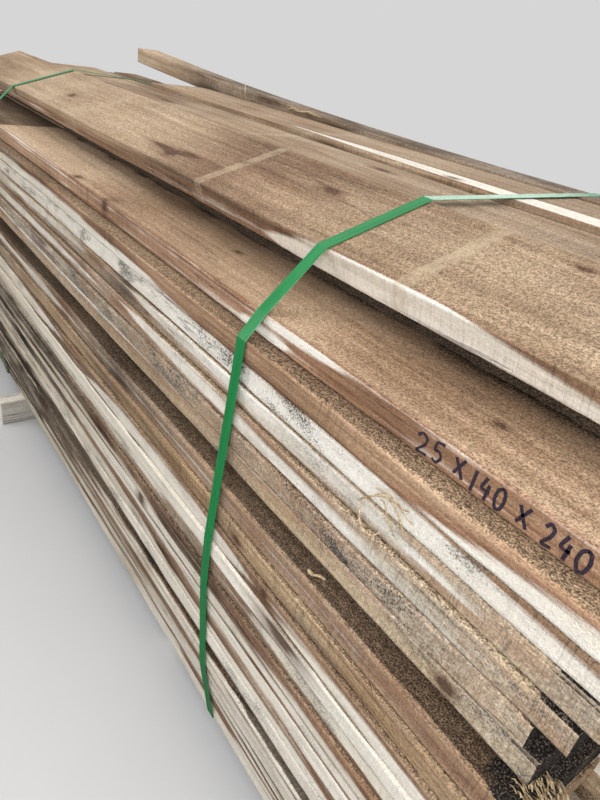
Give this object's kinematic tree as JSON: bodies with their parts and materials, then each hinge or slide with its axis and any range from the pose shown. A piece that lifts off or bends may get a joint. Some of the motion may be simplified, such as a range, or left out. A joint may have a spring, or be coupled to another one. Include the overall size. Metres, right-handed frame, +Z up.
{
  "type": "stack of lumber",
  "caption": "Strapped stack of rough-sawn hardwood boards on two bearers, with a crowned top, a leaning top board and a loose bowed batten.",
  "frame": {"origin": "on the floor under the middle of the stack", "axes": "+X along the boards towards the end nearer the camera, +Y across them away from the marked side, +Z up"},
  "size_m": [2.4, 0.72, 1.0077],
  "materials": {
    "board": "rough-sawn hardwood, brown heartwood and cream sapwood",
    "top_board": "rough-sawn hardwood, brown, with dark knots",
    "bearer": "rough-sawn softer timber, weathered",
    "strap": "glossy green polyester strapping, finely embossed"
  },
  "bodies": {
    "root": {"bearer_far": "bearer", "bearer_near": "bearer", "course_01": "board", "course_02": "board", "course_03": "board", "course_04": "board", "course_05": "board", "course_06": "board", "course_07": "board", "course_08": "board", "course_09": "board", "course_10": "board", "course_11": "board", "course_12": "board", "course_13": "board", "course_14": "board", "course_15": "board", "course_16": "board", "course_17": "board", "course_18": "board", "course_19": "board", "course_20": "board", "course_21": "board", "course_22": "board", "course_23": "board", "course_24": "board", "course_25": "board", "crown_course_1": "board", "crown_course_2": "board", "crown_course_3": "board", "marked_board": "top_board", "leaning_board": "top_board", "flat_board": "top_board", "rear_board": "top_board", "loose_batten": "top_board", "near_strap": "strap", "far_strap": "strap"}
  },
  "joints": []
}
